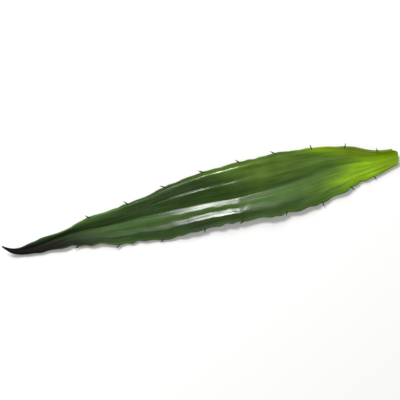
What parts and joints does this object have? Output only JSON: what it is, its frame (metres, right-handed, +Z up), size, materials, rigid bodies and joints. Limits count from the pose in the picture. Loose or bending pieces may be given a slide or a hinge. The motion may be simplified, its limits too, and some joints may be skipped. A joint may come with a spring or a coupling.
{
  "type": "aloe leaf",
  "caption": "Cut aloe leaf: long channelled fleshy blade with wavy spined margins, a trough-shaped pale base and a dried, curled dark tip.",
  "frame": {"origin": "On the surface that the leaf lies on, in the middle of the flat spot that it rests on, below the valley of the blade.", "axes": "+X runs along the leaf to its cut base and -X to its dried tip, +Y to its higher far margin, +Z up out of the surface."},
  "size_m": [0.6168, 0.1164, 0.0238],
  "materials": {
    "leaf_skin": "gloss"
  },
  "bodies": {
    "root": {"aloe_leaf": "leaf_skin"}
  },
  "joints": []
}
